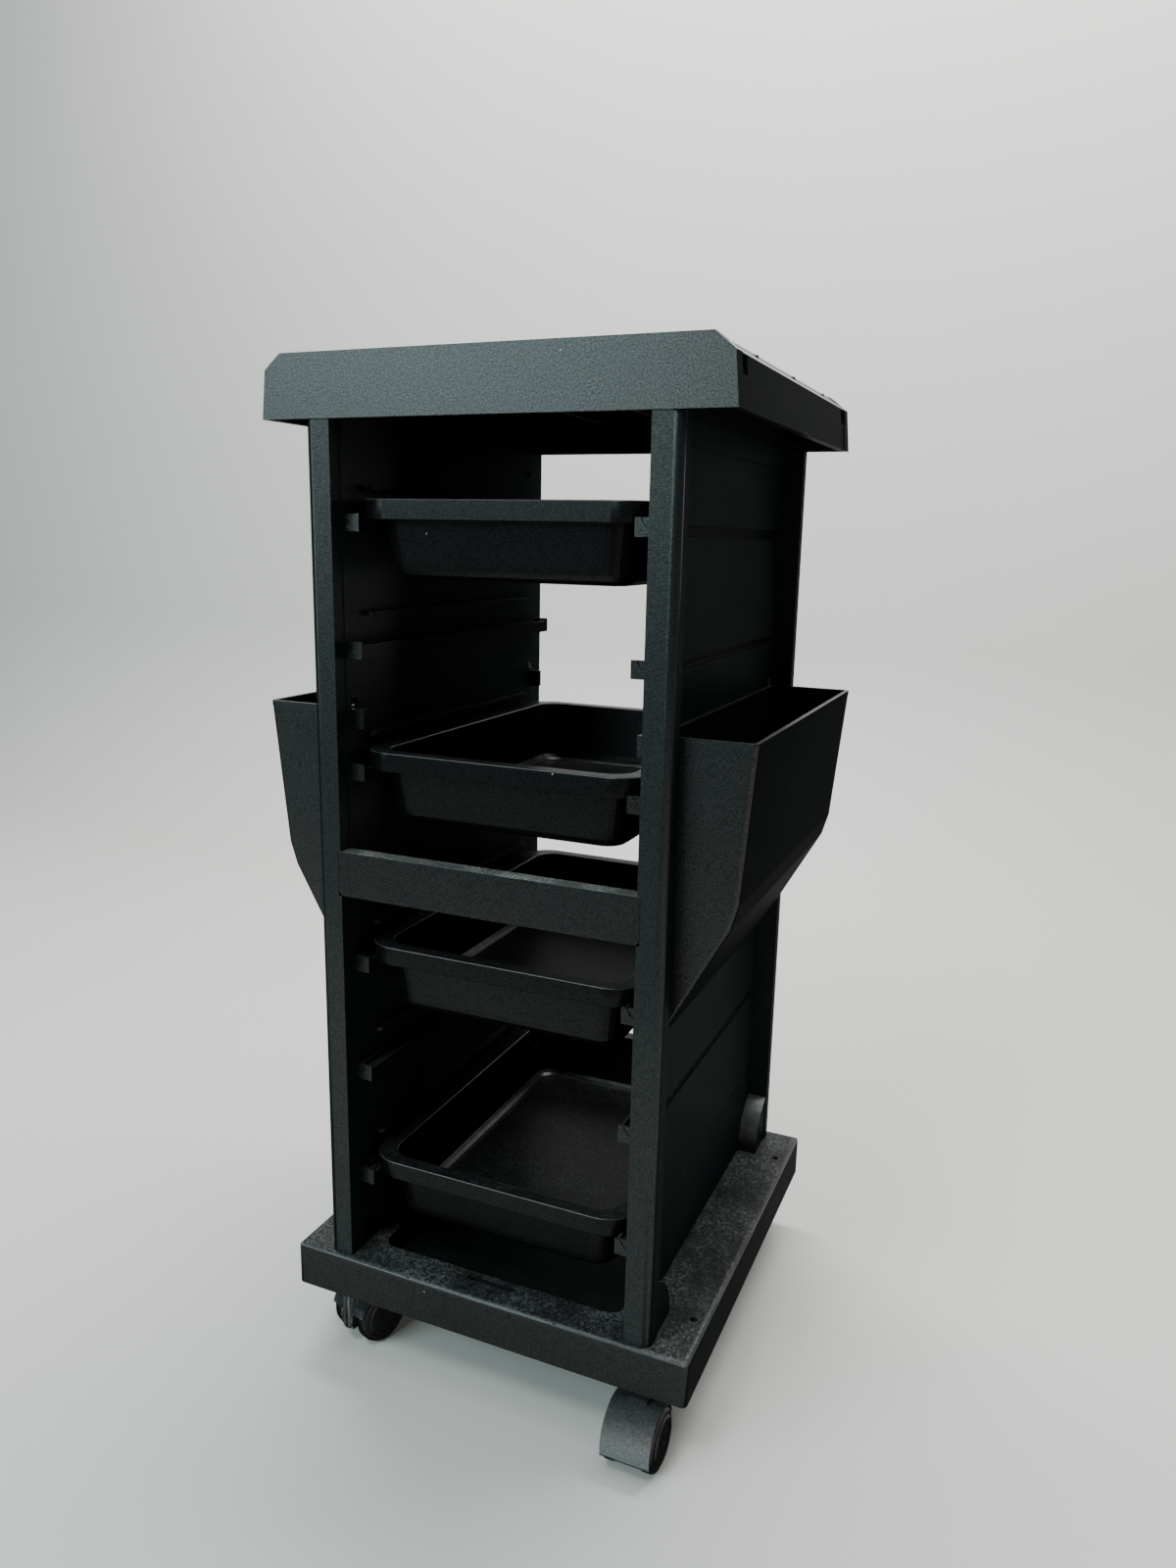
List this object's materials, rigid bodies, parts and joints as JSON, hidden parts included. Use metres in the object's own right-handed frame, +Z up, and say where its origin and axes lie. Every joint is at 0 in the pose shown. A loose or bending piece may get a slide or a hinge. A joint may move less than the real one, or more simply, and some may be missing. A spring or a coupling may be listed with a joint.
{
  "type": "rolling drawer trolley",
  "caption": "Tall narrow rolling trolley in dark plastic: lift-out drawers on side runners, a crossbar, a flat top, hang-on side pockets and swivelling twin-wheel casters.",
  "frame": {"origin": "on the floor, midway between the two sides and midway between the front and rear of the base", "axes": "+Z up, the drawers pull out towards -Y, +X is to the right seen from the front"},
  "size_m": [0.42, 0.428, 0.864],
  "materials": {
    "charcoal_plastic": "fine-grained satin",
    "drawer_plastic": "satin",
    "runner_plastic": "satin",
    "caster_plastic": "semi-matte",
    "wheel_tyre": "smooth",
    "steel": "zinc plated"
  },
  "bodies": {
    "trolley": {"base": "charcoal_plastic", "base_screws": "steel", "side_frame_left": "charcoal_plastic", "side_frame_right": "charcoal_plastic", "crossbar_front": "charcoal_plastic", "crossbar_rear": "charcoal_plastic", "top_cover": "charcoal_plastic", "runner_left_1": "runner_plastic", "runner_left_2": "runner_plastic", "runner_left_3": "runner_plastic", "runner_left_4": "runner_plastic", "runner_left_5": "runner_plastic", "runner_left_6": "runner_plastic", "runner_right_1": "runner_plastic", "runner_right_2": "runner_plastic", "runner_right_3": "runner_plastic", "runner_right_4": "runner_plastic", "runner_right_5": "runner_plastic", "runner_right_6": "runner_plastic", "caster_fl_stem": "steel", "caster_fr_stem": "steel", "caster_rl_stem": "steel", "caster_rr_stem": "steel"},
    "drawer_1_body": {"drawer_1": "drawer_plastic"},
    "drawer_3_body": {"drawer_3": "drawer_plastic"},
    "drawer_4_body": {"drawer_4": "drawer_plastic"},
    "drawer_6_body": {"drawer_6": "drawer_plastic"},
    "pocket_left_body": {"pocket_left": "charcoal_plastic"},
    "pocket_right_body": {"pocket_right": "charcoal_plastic"},
    "caster_fl_swivel_body": {"caster_fl_hood": "caster_plastic", "caster_fl_axle": "steel"},
    "caster_fl_left_wheel_body": {"caster_fl_wheel_left": "wheel_tyre"},
    "caster_fl_right_wheel_body": {"caster_fl_wheel_right": "wheel_tyre"},
    "caster_fr_swivel_body": {"caster_fr_hood": "caster_plastic", "caster_fr_axle": "steel"},
    "caster_fr_left_wheel_body": {"caster_fr_wheel_left": "wheel_tyre"},
    "caster_fr_right_wheel_body": {"caster_fr_wheel_right": "wheel_tyre"},
    "caster_rl_swivel_body": {"caster_rl_hood": "caster_plastic", "caster_rl_axle": "steel"},
    "caster_rl_left_wheel_body": {"caster_rl_wheel_left": "wheel_tyre"},
    "caster_rl_right_wheel_body": {"caster_rl_wheel_right": "wheel_tyre"},
    "caster_rr_swivel_body": {"caster_rr_hood": "caster_plastic", "caster_rr_axle": "steel"},
    "caster_rr_left_wheel_body": {"caster_rr_wheel_left": "wheel_tyre"},
    "caster_rr_right_wheel_body": {"caster_rr_wheel_right": "wheel_tyre"}
  },
  "joints": [
    {"name": "drawer_1_slide", "type": "slide", "parent": "trolley", "child": "drawer_1_body", "axis": [0, -1, 0], "range_m": [0, 0.26]},
    {"name": "drawer_3_slide", "type": "slide", "parent": "trolley", "child": "drawer_3_body", "axis": [0, -1, 0], "range_m": [0, 0.26]},
    {"name": "drawer_4_slide", "type": "slide", "parent": "trolley", "child": "drawer_4_body", "axis": [0, -1, 0], "range_m": [0, 0.26]},
    {"name": "drawer_6_slide", "type": "slide", "parent": "trolley", "child": "drawer_6_body", "axis": [0, -1, 0], "range_m": [0, 0.26]},
    {"name": "pocket_left_lift", "type": "slide", "parent": "trolley", "child": "pocket_left_body", "axis": [0, 0, 1], "range_m": [0, 0.008]},
    {"name": "pocket_right_lift", "type": "slide", "parent": "trolley", "child": "pocket_right_body", "axis": [0, 0, 1], "range_m": [0, 0.008]},
    {"name": "caster_fl_swivel", "type": "hinge", "parent": "trolley", "child": "caster_fl_swivel_body", "pos_m": [-0.144, -0.166, 0.05], "axis": [0, 0, 1], "continuous": true},
    {"name": "caster_fl_left_wheel_spin", "type": "hinge", "parent": "caster_fl_swivel_body", "child": "caster_fl_left_wheel_body", "pos_m": [-0.13815, -0.14687, 0.025], "axis": [-0.9563, 0.2924, 0], "continuous": true},
    {"name": "caster_fl_right_wheel_spin", "type": "hinge", "parent": "caster_fl_swivel_body", "child": "caster_fl_right_wheel_body", "pos_m": [-0.13815, -0.14687, 0.025], "axis": [-0.9563, 0.2924, 0], "continuous": true},
    {"name": "caster_fr_swivel", "type": "hinge", "parent": "trolley", "child": "caster_fr_swivel_body", "pos_m": [0.144, -0.166, 0.05], "axis": [0, 0, 1], "continuous": true},
    {"name": "caster_fr_left_wheel_spin", "type": "hinge", "parent": "caster_fr_swivel_body", "child": "caster_fr_left_wheel_body", "pos_m": [0.144, -0.186, 0.025], "axis": [1, 0, 0], "continuous": true},
    {"name": "caster_fr_right_wheel_spin", "type": "hinge", "parent": "caster_fr_swivel_body", "child": "caster_fr_right_wheel_body", "pos_m": [0.144, -0.186, 0.025], "axis": [1, 0, 0], "continuous": true},
    {"name": "caster_rl_swivel", "type": "hinge", "parent": "trolley", "child": "caster_rl_swivel_body", "pos_m": [-0.144, 0.166, 0.05], "axis": [0, 0, 1], "continuous": true},
    {"name": "caster_rl_left_wheel_spin", "type": "hinge", "parent": "caster_rl_swivel_body", "child": "caster_rl_left_wheel_body", "pos_m": [-0.144, 0.186, 0.025], "axis": [-1, 0, 0], "continuous": true},
    {"name": "caster_rl_right_wheel_spin", "type": "hinge", "parent": "caster_rl_swivel_body", "child": "caster_rl_right_wheel_body", "pos_m": [-0.144, 0.186, 0.025], "axis": [-1, 0, 0], "continuous": true},
    {"name": "caster_rr_swivel", "type": "hinge", "parent": "trolley", "child": "caster_rr_swivel_body", "pos_m": [0.144, 0.166, 0.05], "axis": [0, 0, 1], "continuous": true},
    {"name": "caster_rr_left_wheel_spin", "type": "hinge", "parent": "caster_rr_swivel_body", "child": "caster_rr_left_wheel_body", "pos_m": [0.12408, 0.16774, 0.025], "axis": [-0.0872, -0.9962, 0], "continuous": true},
    {"name": "caster_rr_right_wheel_spin", "type": "hinge", "parent": "caster_rr_swivel_body", "child": "caster_rr_right_wheel_body", "pos_m": [0.12408, 0.16774, 0.025], "axis": [-0.0872, -0.9962, 0], "continuous": true}
  ]
}
